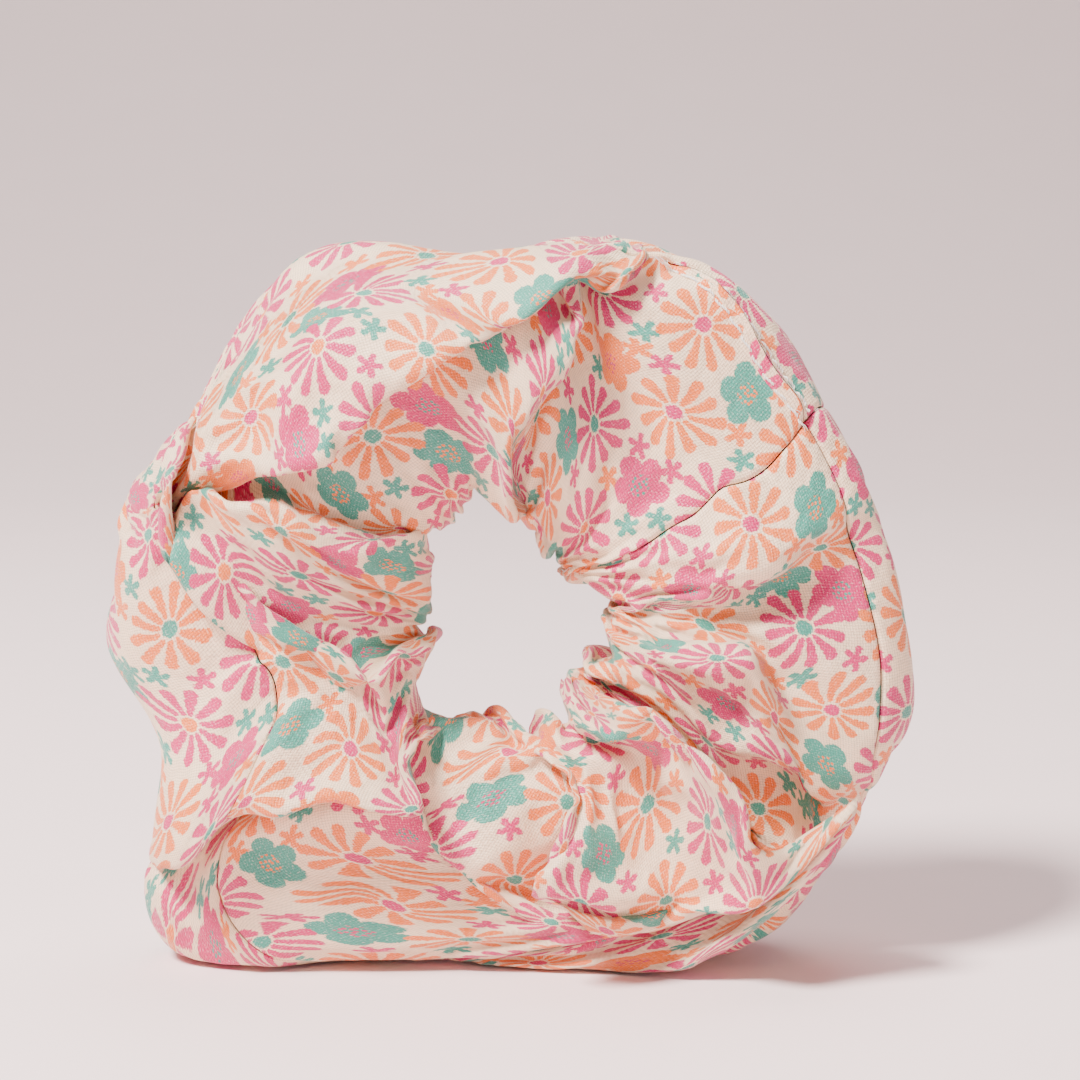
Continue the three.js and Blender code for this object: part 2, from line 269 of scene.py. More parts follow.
def start_of_cloth(radius):
    """Where the cross seam lies, in millimetres of cloth from a turn of 0."""
    before = sum(2 * fold.overlap for fold in FOLDS if mean_turn(fold) < CROSS_SEAM_TURN)
    return math.radians(CROSS_SEAM_TURN) * radius + before


def creases(share, front, radius):
    """Each fold with its turn and its place along the cloth, at every share of the band."""
    used = 0.0
    found = []
    for fold in folds_in_order():
        mean = math.radians(mean_turn(fold))
        turn = mean + (fold_turn(fold, share) - mean) * front
        found.append((fold, turn, turn * radius + used + fold.overlap))
        used += 2 * fold.overlap
    return found


def turn_of_cloth(place, share, front, radius):
    """Turn and forward lift of cloth at a place (mm along the strip) and a share of the band."""
    total = cloth_round_ring(radius)
    along = place + start_of_cloth(radius)
    slope = np.ones_like(along)
    lift = np.zeros_like(along)
    anchor = None
    for fold, turn, centre in creases(share, front, radius):
        away = (along - centre + total / 2) % total - total / 2
        if anchor is None:
            anchor = (away, turn)
        active = smooth(share, *fold.fade_in) * (1 - smooth(share, *fold.fade_out))
        strength = fold.overlap * (0.3 + 0.7 * front * active) * (1.15 - 0.45 * share)
        slope = slope - strength / fold.crease / np.cosh(away / fold.crease) ** 2
        top = 0.5 + 0.5 * np.tanh(fold.side * away / (fold.crease * EDGE_SHARE))
        tail = np.where(fold.side * away > 0, np.exp(-(away / FOLD_TAIL) ** 2), 1.0)
        tucked = (1 - top) * np.exp(-(away / TUCK_REACH) ** 2) * smooth(share, 0.28, 0.5)
        lift = lift + fold.lift * (1.15 * top * tail - 0.65 * tucked) * front * active
    step = total / along.shape[0]
    arc = np.cumsum(slope, 0) * step
    arc = (arc - slope * step) * TAU * radius / arc[-1:]
    turn = arc / radius
    away, fold_at = anchor
    nearest = np.abs(away).argmin(0)
    columns = np.arange(along.shape[1])
    return turn - turn[nearest, columns] + fold_at[nearest, columns], lift


def print_places(s, points, from_rim):
    """Millimetres of strip at each station and row.  The print lies unstretched on the cloth
    between two folds; the folds take in what the rim needs more than the mouth."""
    radius = s.middle_radius / MM
    total = cloth_round_ring(radius)
    cloth = opened(from_rim, 0)
    lap = TAU * cloth / (s.girth / MM)
    share = rim_share(lap)
    front = front_share(lap)
    line = np.linspace(0, total, s.stations + 1)
    place = line[:, None] * np.ones_like(lap)
    ring = opened(points, 0)
    steps = evened(np.linalg.norm(np.diff(ring, axis=0), axis=-1), 1, 2)
    arc = np.concatenate([np.zeros_like(steps[:1]), np.cumsum(steps, 0)])
    rim_row = np.cos(lap).argmax(1)
    rim = ring[np.arange(s.stations + 1), rim_row]
    rim_step = smoothed_ring(np.linalg.norm(np.diff(rim, axis=0), axis=-1), 10)
    rim_arc = np.concatenate([[0], np.cumsum(rim_step)])
    start = start_of_cloth(radius)
    edges = [(centre - start) % total for _, _, centre in creases(share, front, radius)]
    edges.sort(key=np.mean)
    rows = np.arange(lap.shape[1])
    result = arc
    for k, edge in enumerate(edges):
        if k + 1 < len(edges):
            middle = (edge + edges[k + 1]) / 2
            nearest = np.abs(place - middle).argmin(0)
            middle = middle[nearest, rows]
        else:
            middle = np.full(len(rows), total)
        anchor = np.array([np.interp(middle[j], line, arc[:, j]) for j in rows])
        panel = np.interp(middle, line, rim_arc) + arc - anchor
        beyond = smooth(place - edge, -4.5, 4.5)
        result = result * (1 - beyond) + panel * beyond
    return result


def evened(values, axis, reach):
    """A running mean over a closed axis."""
    weights = np.hanning(2 * reach + 3)[1:-1]
    parts = [w * np.roll(values, k - reach, axis) for k, w in enumerate(weights)]
    return sum(parts) / weights.sum()


def print_heights(s, points, from_rim):
    """Millimetres across the strip at each station and row: unstretched over the front."""
    girth = s.girth / MM
    steps = np.linalg.norm(np.roll(points, -1, 1) - points, axis=-1)
    steps = evened(steps, 0, 2)
    arc = np.concatenate([np.zeros_like(steps[:, :1]), np.cumsum(steps, 1)], 1)
    rows = np.arange(s.rows + 1) / s.rows * girth
    shift = from_rim[:, 0]
    shift = np.where(shift > girth / 2, shift - girth, shift)
    at_front = girth / 4 - shift
    at_mouth = girth / 2 - shift
    heights = np.zeros_like(arc)
    for i in range(len(arc)):
        middle, mouth = np.interp([at_front[i], at_mouth[i]], rows, arc[i])
        height = at_front[i] + arc[i] - middle
        top = at_front[i] + mouth - middle
        back = (girth - top) / (arc[i, -1] - mouth)
        heights[i] = np.where(arc[i] < mouth, height, top + (arc[i] - mouth) * back)
    return opened(heights, 0)


def rolled(lap, roll, turn):
    """Moves cloth across the band into a roll that runs round the ring. Lap is 0 at the rim."""
    degrees_round = np.degrees(turn) % 360
    turns, shares = zip(*roll.line)
    share = np.interp(degrees_round, turns, shares)
    active = smooth(degrees_round, *roll.fade_in) * (1 - smooth(degrees_round, *roll.fade_out))
    place = lap / math.pi * ROLL_SPAN
    centre = np.arccos(np.clip(2 * share - 1, -1, 1)) / math.pi * ROLL_SPAN

    def moved(x):
        return x - active * roll.overlap * np.tanh((x - centre) / roll.crease)

    t = (moved(place) - moved(0)) / (moved(ROLL_SPAN) - moved(0))
    side = -1 if roll.rim_on_top else 1
    away = side * (place - centre)
    top = 0.5 + 0.5 * np.tanh(away / (roll.crease * EDGE_SHARE))
    tail = np.where(away > 0, np.exp(-(away / ROLL_TAIL) ** 2), 1.0)
    on_front = lap <= math.pi
    return np.where(on_front, math.pi * t, lap), roll.lift * active * top * tail


def wander(place, rng, waves):
    """A smooth random curve that closes on itself."""
    out = np.zeros_like(place)
    for k in range(1, waves + 1):
        a, b = rng.normal(size=2)
        out += (a * np.cos(TAU * k * place) + b * np.sin(TAU * k * place)) / math.sqrt(waves)
    return out


def cloth_from_rim(s):
    """For each station and row, millimetres of cloth from the rim, over the front."""
    girth = s.girth / MM
    radius = s.middle_radius / MM
    u = np.arange(s.stations) / s.stations
    place = (u * cloth_round_ring(radius))[:, None]
    half = np.full_like(place, 0.5)
    turn, _ = turn_of_cloth(place, half, np.ones_like(place), radius)
    degrees_round = (np.degrees(turn[:, 0]) + 40) % 360 - 40
    turns, offsets = zip(*SEAM_PATH)
    offset = smoothed_ring(np.interp(degrees_round, turns, offsets), 4)
    v = np.arange(s.rows) / s.rows
    return (v[None, :] * girth + offset[:, None]) % girth


def gathered_shape(s):
    """The sleeve as it is folded round the elastic, before the cloth relaxes, in millimetres."""
    rng = np.random.RandomState(3)
    girth = s.girth / MM
    radius = s.middle_radius / MM
    from_rim = cloth_from_rim(s)
    lap = TAU * from_rim / girth
    share = rim_share(lap)
    front = front_share(lap)
    u = (np.arange(s.stations) / s.stations)[:, None]
    place = u * cloth_round_ring(radius) * np.ones_like(lap)
    turn, lift = turn_of_cloth(place, share, front, radius)
    for roll in ROLLS:
        lap, raised = rolled(lap, roll, turn)
        lift = lift + raised * front
    share = rim_share(lap)
    mouth = mouth_at(turn)
    reach = mouth + (rim_at(turn) - mouth) * share
    half_depth = s.half_depth / MM * (0.92 + 0.08 * np.cos(3 * turn + 1))
    sine = np.sin(lap)
    depth = -half_depth * np.sign(sine) * np.abs(sine) ** 0.8
    phase = TAU * s.pleats * u + 1.2 * wander(u, rng, 9)
    pleat = (1 + 0.35 * np.tanh(wander(u, rng, 9))) * np.cos(phase)
    broad = np.cos(TAU * 9 * u + 0.9 * wander(u, rng, 6))
    broad = broad * (1 + 0.3 * np.tanh(wander(u, rng, 8)))
    back = 1 - front
    relief = 3.0 * pleat * (1 - share) ** 1.5 * (0.6 + 0.4 * back)
    relief = relief + back * 3.2 * broad * (0.4 + 0.6 * share)
    reach = reach + relief * np.cos(lap) * 0.9
    forward = lift * np.clip(sine, 0, 1) ** 0.5
    depth = depth - relief * sine - forward + 3.5
    points = np.stack([reach * np.cos(turn), depth, reach * np.sin(turn)], -1)
    return points, pleat[:, 0], from_rim


def flat_lengths_shape(s, from_rim):
    """A ring with the cloth's own lengths: two flat layers, eased in a little at the mouth."""
    girth = s.girth / MM
    half = girth / 2
    from_mouth = np.abs(from_rim - half)
    steps = np.linspace(0, half, 400)
    radius = s.cut_length / MM / TAU * (1 - 0.50 * np.exp(-(steps / 11.0) ** 2))
    slant = np.gradient(radius, steps)
    rise = np.concatenate([[0], np.cumsum(np.sqrt(1 - np.minimum(slant ** 2, 0.9)))[:-1]])
    height = np.interp(from_mouth, steps, rise * (steps[1] - steps[0]))
    r = np.interp(from_mouth, steps, radius) + 0.4 * np.sin(TAU * from_rim / girth)
    angle = (TAU * np.arange(s.stations) / s.stations)[:, None]
    return np.stack([r * np.cos(angle), height, r * np.sin(angle)], -1)


# ---- Cloth simulation -----------------------------------------------------------------------

SIM_SCALE = 10.0
LOOSE_HOLD, FIRM_HOLD = 0.3, 1.0
HELD_BAND = 3.5


def ring_faces(stations, rows):
    index = np.arange(stations * rows).reshape(stations, rows)
    near = np.roll(index, -1, 0)
    quads = np.stack([index, near, np.roll(near, -1, 1), np.roll(index, -1, 1)], -1)
    return quads.reshape(-1, 4).tolist()


def elastic_for_simulation():
    """The elastic's mesh, centred on the ring and enlarged as the cloth is."""
    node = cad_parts["elastic_loop"]
    mesh = node.data.copy()
    place = np.zeros(3 * len(mesh.vertices))
    mesh.vertices.foreach_get("co", place)
    turned = np.array(node.matrix_world)
    place = place.reshape(-1, 3) @ turned[:3, :3].T + turned[:3, 3]
    place = (place - [0, 0, RING_MIDDLE[2]]) * SIM_SCALE
    mesh.vertices.foreach_set("co", place.ravel())
    mesh.update()
    return mesh


def relax_as_cloth(s, points, flat, pleat, from_rim):
    """Runs the sleeve as cloth for a few frames, held firmly at the bottoms of its pleats within
    HELD_BAND millimetres of the mouth, and loosely elsewhere."""
    scale = SIM_SCALE * MM
    mesh = bpy.data.meshes.new("sleeve_in_simulation")
    mesh.from_pydata((points * scale).reshape(-1, 3).tolist(), [], ring_faces(s.stations, s.rows))
    sleeve = bpy.data.objects.new("sleeve_in_simulation", mesh)
    bpy.context.collection.objects.link(sleeve)
    sleeve.shape_key_add(name="Basis")
    lengths = sleeve.shape_key_add(name="flat_lengths", from_mix=False)
    lengths.data.foreach_set("co", (flat * scale).ravel())
    lengths.value = 0
    hold = sleeve.vertex_groups.new(name="hold")
    held = np.full(from_rim.shape, LOOSE_HOLD)
    valley = (pleat < np.roll(pleat, 1)) & (pleat < np.roll(pleat, -1))
    at_mouth = np.abs(from_rim - s.girth / MM / 2) < HELD_BAND
    held[valley[:, None] & at_mouth] = FIRM_HOLD
    for weight in np.unique(held):
        chosen = np.flatnonzero(held.ravel() == weight)
        hold.add([int(k) for k in chosen], float(weight), "REPLACE")
    cloth = sleeve.modifiers.new("cloth", "CLOTH")
    c = cloth.settings
    c.quality = 6
    c.mass = 0.15
    c.tension_stiffness = 30
    c.compression_stiffness = 6
    c.shear_stiffness = 5
    c.bending_stiffness = 6
    c.tension_damping = c.compression_damping = c.shear_damping = 5
    c.air_damping = 4
    c.vertex_group_mass = "hold"
    c.pin_stiffness = 1
    c.rest_shape_key = lengths
    c.use_pressure = True
    c.uniform_pressure_force = 0.15
    c.effector_weights.gravity = 0.1
    hits = cloth.collision_settings
    hits.use_self_collision = True
    hits.self_distance_min = 0.006
    hits.self_friction = 5
    hits.collision_quality = 3
    hits.distance_min = 0.005
    cloth.point_cache.frame_end = s.frames
    bpy.ops.mesh.primitive_plane_add(size=6, location=(0, 0, -RING_HEIGHT / 2 * SIM_SCALE))
    ground = bpy.context.object
    ground.modifiers.new("ground", "COLLISION")
    elastic = bpy.data.objects.new("elastic_in_simulation", elastic_for_simulation())
    bpy.context.collection.objects.link(elastic)
    elastic.modifiers.new("elastic", "COLLISION")
    elastic.collision.thickness_outer = 0.01
    scene = bpy.context.scene
    scene.frame_start, scene.frame_end = 1, s.frames
    for step in range(1, s.frames + 1):
        scene.frame_set(step)
    relaxed = sleeve.evaluated_get(bpy.context.evaluated_depsgraph_get())
    out = np.zeros(points.size)
    relaxed.data.vertices.foreach_get("co", out)
    scene.frame_set(1)
    for helper in (ground, elastic, sleeve):
        used_mesh = helper.data
        bpy.data.objects.remove(helper)
        bpy.data.meshes.remove(used_mesh)
    return out.reshape(points.shape) / scale


def fitted(points):
    """Brings the sleeve to the ring's own width, height and depth, standing on its lower edge."""
    low, high = points.min((0, 1)), points.max((0, 1))
    out = points.copy()
    ring_low = (np.array(RING_LOW) - [0, 0, RING_MIDDLE[2]]) / MM
    ring_high = (np.array(RING_HIGH) - [0, 0, RING_MIDDLE[2]]) / MM
    for axis in (0, 2):
        part = (points[..., axis] - low[axis]) / (high[axis] - low[axis])
        out[..., axis] = ring_low[axis] + part * (ring_high[axis] - ring_low[axis])
    depth = points[..., 1]
    scale = np.where(depth > 0, ring_high[1] / high[1], ring_low[1] / low[1])
    out[..., 1] = depth * scale
    return out


def clear_of_elastic(points, gap):
    """Moves cloth that lies in the elastic, or nearer than the gap in millimetres, out of it."""
    mesh = elastic_for_simulation()
    scale = SIM_SCALE * MM
    corners = [vertex.co / scale for vertex in mesh.vertices]
    tree = BVHTree.FromPolygons(corners, [tuple(face.vertices) for face in mesh.polygons])
    out = points.copy()
    for i, j in np.ndindex(points.shape[:2]):
        place = Vector(points[i, j])
        nearest, normal, _, distance = tree.find_nearest(place)
        inside = distance < ELASTIC_DEPTH and (place - nearest).dot(normal) < 0
        if inside or distance < gap:
            away = normal if inside or distance < 1e-6 else (place - nearest).normalized()
            out[i, j] = nearest + away * gap
    bpy.data.meshes.remove(mesh)
    return out


# ---- Seams ------------------------------------------------------------------------------------

def outward(points):
    """Unit normals of the closed sleeve, away from the inside of the tube."""
    along = np.roll(points, -1, 0) - np.roll(points, 1, 0)
    round_tube = np.roll(points, -1, 1) - np.roll(points, 1, 1)
    return unit(np.cross(along, round_tube))


def closing_share(s):
    """For each station, 1 along the topstitched closing beside the cross seam, 0 elsewhere."""
    place = np.arange(s.stations) / s.stations * s.cut_length / MM
    return smooth(place, 0.5, 2.5) * (1 - smooth(place, CLOSING_LENGTH - 2, CLOSING_LENGTH))


def opened(array, axis):
    """Repeats the first line of a closed grid at its end, where the seam will be."""
    first = array[:1] if axis == 0 else array[:, :1]
    return np.concatenate([array, first], axis)


def pressed_flat(grid, normal, columns):
    """Turned-in cloth that lies under the cloth, some columns of the grid from its edge."""
    whole = int(columns)
    part = columns - whole
    under = grid - normal * UNDER_CLOTH
    return under[:, whole] * (1 - part) + under[:, whole + 1] * part


def sewn_edges(grid, normal, cloth_step, allowance, ridge, crease):
    """Opens axis 1 of a grid at its seam: a crease, or a ridge where ridge is 1, and turned-in
    cloth on both sides.  Returns the wider grid and its places in millimetres of cloth."""
    first, last = grid[:, 0], grid[:, -1]
    inside_next = grid[:, 1]
    before_last = grid[:, -2]
    n = normal[:, 0]
    across = unit(inside_next - before_last)
    ridge = ridge[:, None]
    rise = ridge * 2.0 - (1 - ridge) * crease
    line = first + n * rise
    near = 0.5
    half_gap = 0.06
    touching = 0.02
    beside = near * (1 - 0.45 * ridge)
    shoulder = ridge * 1.1 - (1 - ridge) * 0.12 * crease
    columns, places = [], []
    for place in (allowance, allowance * 0.5):
        columns.append(pressed_flat(grid, normal, place / cloth_step))
        places.append(-place)
    columns.append(line - n * near + across * half_gap)
    places.append(-near)
    columns.append(line + across * touching)
    places.append(0.0)
    columns.append(first + n * shoulder + across * beside)
    places.append(near)
    total = cloth_step * (grid.shape[1] - 1)
    for k in range(1, grid.shape[1] - 1):
        columns.append(grid[:, k])
        places.append(cloth_step * k)
    columns.append(last + n * shoulder - across * beside)
    places.append(total - near)
    columns.append(line - across * touching)
    places.append(total)
    columns.append(line - n * near - across * half_gap)
    places.append(total + near)
    for place in (allowance * 0.5, allowance):
        columns.append(pressed_flat(grid[:, ::-1], normal[:, ::-1], place / cloth_step))
        places.append(total + place)
    return np.stack(columns, 1), np.array(places)


def spread(values, places, wanted, slope):
    """Reads lines of a grid at other places, going on with a slope past both ends."""
    index = np.clip(np.searchsorted(places, wanted) - 1, 0, len(places) - 2)
    part = np.clip((wanted - places[index]) / (places[index + 1] - places[index]), 0, 1)[:, None]
    past = wanted - np.clip(wanted, places[0], places[-1])
    return values[index] * (1 - part) + values[index + 1] * part + past[:, None] * slope


def sewn_sheet(s, points, along, across):
    """The relaxed sleeve, cut open at its long seam and its cross seam, as one flat-cut sheet."""
    normal = outward(points)
    allowance = s.allowance / MM
    row_step = s.girth / MM / s.rows
    station_step = s.cut_length / MM / s.stations
    grid, v_places = sewn_edges(opened(points, 1), opened(normal, 1), row_step, allowance,
                                closing_share(s), LONG_SEAM_CREASE)
    column_of = np.clip(np.round(v_places / row_step).astype(int), 0, s.rows)
    normals = opened(normal, 1)[:, column_of]
    turned = opened(grid, 0).transpose(1, 0, 2)
    turned_normals = opened(normals, 0).transpose(1, 0, 2)
    turned, u_places = sewn_edges(turned, turned_normals, station_step, allowance,
                                  np.zeros(turned.shape[0]), CROSS_SEAM_CREASE)
    rows = np.arange(s.rows + 1) * row_step
    stations = np.arange(s.stations + 1) * station_step
    along = spread(opened(along, 1).T, rows, v_places, 0.0).T
    along = spread(along, stations, u_places, 1.0)
    across = spread(across.T, rows, v_places, 1.0).T
    across = spread(across, stations, u_places, 0.0)
    return turned.transpose(1, 0, 2), u_places, v_places, np.stack([along, across], -1)


def sheet_mesh(name, sheet, u_places, v_places, printed, s):
    """A mesh of the sheet with two UV maps in metres: its flat cut, and the print's places."""
    count_u, count_v = sheet.shape[:2]
    length, girth = s.cut_length / MM, s.girth / MM
    mesh = bpy.data.meshes.new(name)
    place = sheet.reshape(-1, 3) * MM
    place = place + np.array([0, 0, RING_MIDDLE[2]])
    place[:, 2] = np.maximum(place[:, 2], 0.0002)
    faces = []
    corners, prints = [], []
    for i in range(count_u - 1):
        u_turned = u_places[i] < 0 or u_places[i + 1] > length
        for j in range(count_v - 1):
            v_turned = v_places[j] < 0 or v_places[j + 1] > girth
            if u_turned and v_turned:
                continue
            ring = [(i, j), (i + 1, j), (i + 1, j + 1), (i, j + 1)]
            faces.append([a * count_v + b for a, b in ring])
            corners.extend((u_places[a] * MM, v_places[b] * MM) for a, b in ring)
            prints.extend(printed[a, b] * MM for a, b in ring)
    mesh.from_pydata(place.tolist(), [], faces)
    layer = mesh.uv_layers.new(name="flat_cut")
    layer.data.foreach_set("uv", np.array(corners).ravel())
    layer = mesh.uv_layers.new(name="print")
    layer.data.foreach_set("uv", np.array(prints).ravel())
    return mesh


# ---- Shader helpers ---------------------------------------------------------------------------

class Term:
    """A number on a node's socket; arithmetic on it adds Math nodes."""

    def __init__(self, tree, socket):
        self.tree = tree
        self.socket = socket

    def maths(self, operation, *others):
        settings = {"operation": operation}
        values = dict(enumerate((self, *others)))
        return self.tree.node("ShaderNodeMath", settings, values).out(0)

    def __add__(self, other):
        return self.maths("ADD", other)

    def __radd__(self, other):
        return self.maths("ADD", other)

    def __mul__(self, other):
        return self.maths("MULTIPLY", other)

    def __rmul__(self, other):
        return self.maths("MULTIPLY", other)

    def __sub__(self, other):
        return self.maths("SUBTRACT", other)

    def __rsub__(self, other):
        return (self * -1).maths("ADD", other)

    def __truediv__(self, other):
        return self.maths("DIVIDE", other)

    def __lt__(self, other):
        return self.maths("LESS_THAN", other)

    def step(self, low, high):
        """0 below low, 1 above high, smooth between."""
        values = {"Value": self, "From Min": low, "From Max": high}
        settings = {"interpolation_type": "SMOOTHSTEP"}
        return self.tree.node("ShaderNodeMapRange", settings, values).out("Result")


class Made:
    """A node that has been added, with its outputs as terms."""

    def __init__(self, tree, made):
        self.tree = tree
        self.made = made

    def out(self, name):
        return Term(self.tree, self.made.outputs[name])


class Tree:
    """Adds nodes to one material."""

    def __init__(self, material):
        material.use_nodes = True
        self.nodes = material.node_tree.nodes
        self.links = material.node_tree.links
        self.shader = self.nodes["Principled BSDF"]

    def node(self, kind, settings, values):
        made = self.nodes.new(kind)
        for name, value in settings.items():
            setattr(made, name, value)
        for name, value in values.items():
            self.feed(made.inputs[name], value)
        return Made(self, made)

    def feed(self, socket, value):
        if isinstance(value, Term):
            self.links.new(value.socket, socket)
        else:
            socket.default_value = value

    def surface(self, values):
        for name, value in values.items():
            self.feed(self.shader.inputs[name], value)

    def noise(self, place, scale, out="Fac", **more):
        values = {"Vector": place, "Scale": scale, **more}
        return self.node("ShaderNodeTexNoise", {}, values).out(out)

    def bumped(self, strength, distance, height):
        values = {"Strength": strength, "Distance": distance, "Height": height}
        return self.node("ShaderNodeBump", {}, values).out("Normal")

    def vector(self, operation, *values):
        settings = {"operation": operation}
        return self.node("ShaderNodeVectorMath", settings, dict(enumerate(values)))

    def mix_vector(self, factor, a, b):
        values = {"Factor": factor, 4: a, 5: b}
        return self.node("ShaderNodeMix", {"data_type": "VECTOR"}, values).out(1)

    def mix_colour(self, factor, a, b, blend="MIX"):
        settings = {"data_type": "RGBA", "blend_type": blend}
        return self.node("ShaderNodeMix", settings, {"Factor": factor, 6: a, 7: b}).out(2)

    def split(self, vector):
        made = self.node("ShaderNodeSeparateXYZ", {}, {0: vector})
        return made.out("X"), made.out("Y"), made.out("Z")

    def join(self, x, y, z=0.0):
        return self.node("ShaderNodeCombineXYZ", {}, {"X": x, "Y": y, "Z": z}).out(0)


def with_alpha(colour, gain=1.0):
    return (*[min(1.0, c * gain) for c in colour], 1.0)


# ---- The flower print ---------------------------------------------------------------------------

Motif = namedtuple("Motif", "x y spin petals centre")
PINK, ORANGE, TEAL = 0.0, 1.0, 2.0
DAISY_PAIRS = [(PINK, TEAL), (ORANGE, TEAL), (PINK, ORANGE), (ORANGE, PINK)]
ROUND_PAIRS = [(PINK, TEAL), (TEAL, ORANGE), (ORANGE, PINK), (TEAL, PINK)]
STAR_PAIRS = [(TEAL, TEAL), (PINK, PINK), (ORANGE, ORANGE)]


def scattered_motifs(p):
    """Spreads daisies, then round flowers, then stars on the repeat, each into the widest gaps."""
    rng = random.Random(11)
    width, height = p.repeat_width / MM, p.repeat_height / MM

    def room(x, y, radius, others):
        least = 1e9
        for other_x, other_y, other_radius in others:
            dx = (x - other_x + width / 2) % width - width / 2
            dy = (y - other_y + height / 2) % height - height / 2
            least = min(least, math.hypot(dx, dy) - radius - other_radius)
        return least

    kinds = {}
    taken = []
    for kind, radius, wanted, pairs in (
            ("daisy", p.daisy / MM, 10, DAISY_PAIRS),
            ("round", p.round_flower / MM * 0.8, 6, ROUND_PAIRS),
            ("star", p.star / MM, 22, STAR_PAIRS)):
        placed = []
        for _ in range(wanted):
            tries = [(rng.uniform(0, width), rng.uniform(0, height)) for _ in range(300)]
            best = max(tries, key=lambda spot: room(*spot, radius, taken + placed))
            placed.append((*best, radius))
        for reach in (3.0, 2.0, 1.0, 0.5, 0.5):
            for k, (x, y, _) in enumerate(placed):
                others = taken + placed[:k] + placed[k + 1:]
                tries = [(x, y)] + [(x + rng.uniform(-reach, reach), y + rng.uniform(-reach, reach))
                                    for _ in range(40)]
                best = max(tries, key=lambda spot: room(*spot, radius, others))
                placed[k] = (*best, radius)
        taken += placed
        kinds[kind] = [Motif(x % width, y % height, rng.uniform(0, TAU), *pairs[k % len(pairs)])
                       for k, (x, y, _) in enumerate(placed)]
    return kinds


def nearest_motif(tree, place, motifs, p):
    """Place relative to the nearest motif, and that motif's spin and two colours."""
    width, height = p.repeat_width / MM, p.repeat_height / MM
    top = (width / 2, height / 2, 1.0)
    low = (-width / 2, -height / 2, -1.0)
    nearest, facts, best = None, None, None
    for motif in motifs:
        shifted = tree.vector("SUBTRACT", place, (motif.x, motif.y, 0.0)).out(0)
        local = tree.vector("WRAP", shifted, top, low).out(0)
        distance = tree.vector("LENGTH", local).out("Value")
        own = (motif.spin, motif.petals, motif.centre)
        if nearest is None:
            nearest, facts, best = local, own, distance
            continue
        closer = distance < best
        nearest = tree.mix_vector(closer, nearest, local)
        facts = tree.mix_vector(closer, facts, own)
        best = best.maths("MINIMUM", distance)
    return nearest, facts, best


def petal_place(tree, local, distance, spin, count):
    """Folds the plane on to one of count petals, which then lies along X."""
    x, y, _ = tree.split(local)
    angle = y.maths("ARCTAN2", x) + spin
    turns = angle * (count / TAU)
    whole = turns.maths("FLOOR")
    within = (turns - whole - 0.5) * (TAU / count)
    return distance * within.maths("COSINE"), distance * within.maths("SINE"), whole


def capsule(tree, x, y, start, end, thin, thick, fuzz):
    """1 inside a rounded bar along X that widens from thin to thick."""
    t = ((x - start) / (end - start)).maths("MINIMUM", 1.0).maths("MAXIMUM", 0.0)
    off = x - (t * (end - start) + start)
    away = tree.vector("LENGTH", tree.join(off, y)).out("Value")
    edge = away - (t * (thick - thin) + thin)
    return 1 - edge.step(-fuzz, fuzz)


def motif_colour(tree, code, p):
    teal_part = code.step(1.4, 1.6)
    orange_part = code.step(0.4, 0.6)
    first = tree.mix_colour(orange_part, with_alpha(p.pink), with_alpha(p.orange))
    return tree.mix_colour(teal_part, first, with_alpha(p.teal))


def printed_colour(tree, place, p):
    """Cream cloth with daisies, round flowers and stars. Place is in millimetres."""
    kinds = scattered_motifs(p)
    drawn = place
    for scale, detail, amount in ((1.6, 1.0, 0.45), (4.2, 0.0, 0.42)):
        wobble = tree.noise(place, scale, "Color", Detail=detail)
        shift = tree.vector("SUBTRACT", wobble, (0.5, 0.5, 0.5)).out(0)
        drawn = tree.vector("MULTIPLY_ADD", shift, (amount, amount, 0.0), drawn).out(0)
    fuzz = 0.10
    colour = with_alpha(p.cream)

    radius = p.star / MM
    local, facts, distance = nearest_motif(tree, drawn, kinds["star"], p)
    spin, petals, _ = tree.split(facts)
    x, y, _ = petal_place(tree, local, distance, spin, 5)
    mask = capsule(tree, x, y, radius * 0.2, radius * 0.74, radius * 0.22, radius * 0.27, fuzz)
    colour = tree.mix_colour(mask, colour, motif_colour(tree, petals, p))

    radius = p.round_flower / MM
    local, facts, distance = nearest_motif(tree, drawn, kinds["round"], p)
    spin, petals, centre = tree.split(facts)
    x, y, _ = petal_place(tree, local, distance, spin, 5)
    lobes = capsule(tree, x, y, 0.0, radius * 0.6, radius * 0.3, radius * 0.4, fuzz)
    mask = lobes.maths("MAXIMUM", 1 - distance.step(radius * 0.5, radius * 0.52))
    colour = tree.mix_colour(mask, colour, motif_colour(tree, petals, p))
    dots = tree.node("ShaderNodeTexVoronoi", {"voronoi_dimensions": "2D"},
                     {"Vector": place, "Scale": 1.35, "Randomness": 0.55}).out("Distance")
    cluster = (1 - dots.step(0.28, 0.36)) * (1 - distance.step(radius * 0.32, radius * 0.38))
    colour = tree.mix_colour(cluster, colour, motif_colour(tree, centre, p))

    radius = p.daisy / MM
    local, facts, distance = nearest_motif(tree, drawn, kinds["daisy"], p)
    spin, petals, centre = tree.split(facts)
    x, y, which = petal_place(tree, local, distance, spin, 11)
    seed = tree.join(which, spin)
    chance = tree.node("ShaderNodeTexWhiteNoise", {"noise_dimensions": "2D"},
                       {"Vector": seed}).out("Value")
    stretch = chance * 0.16 + 0.92
    mask = capsule(tree, x / stretch, y, radius * 0.3, radius * 0.86,
                   radius * 0.065, radius * 0.145, fuzz)
    colour = tree.mix_colour(mask, colour, motif_colour(tree, petals, p))
    heart = 1 - distance.step(radius * 0.17, radius * 0.2)
    return tree.mix_colour(heart, colour, motif_colour(tree, centre, p))


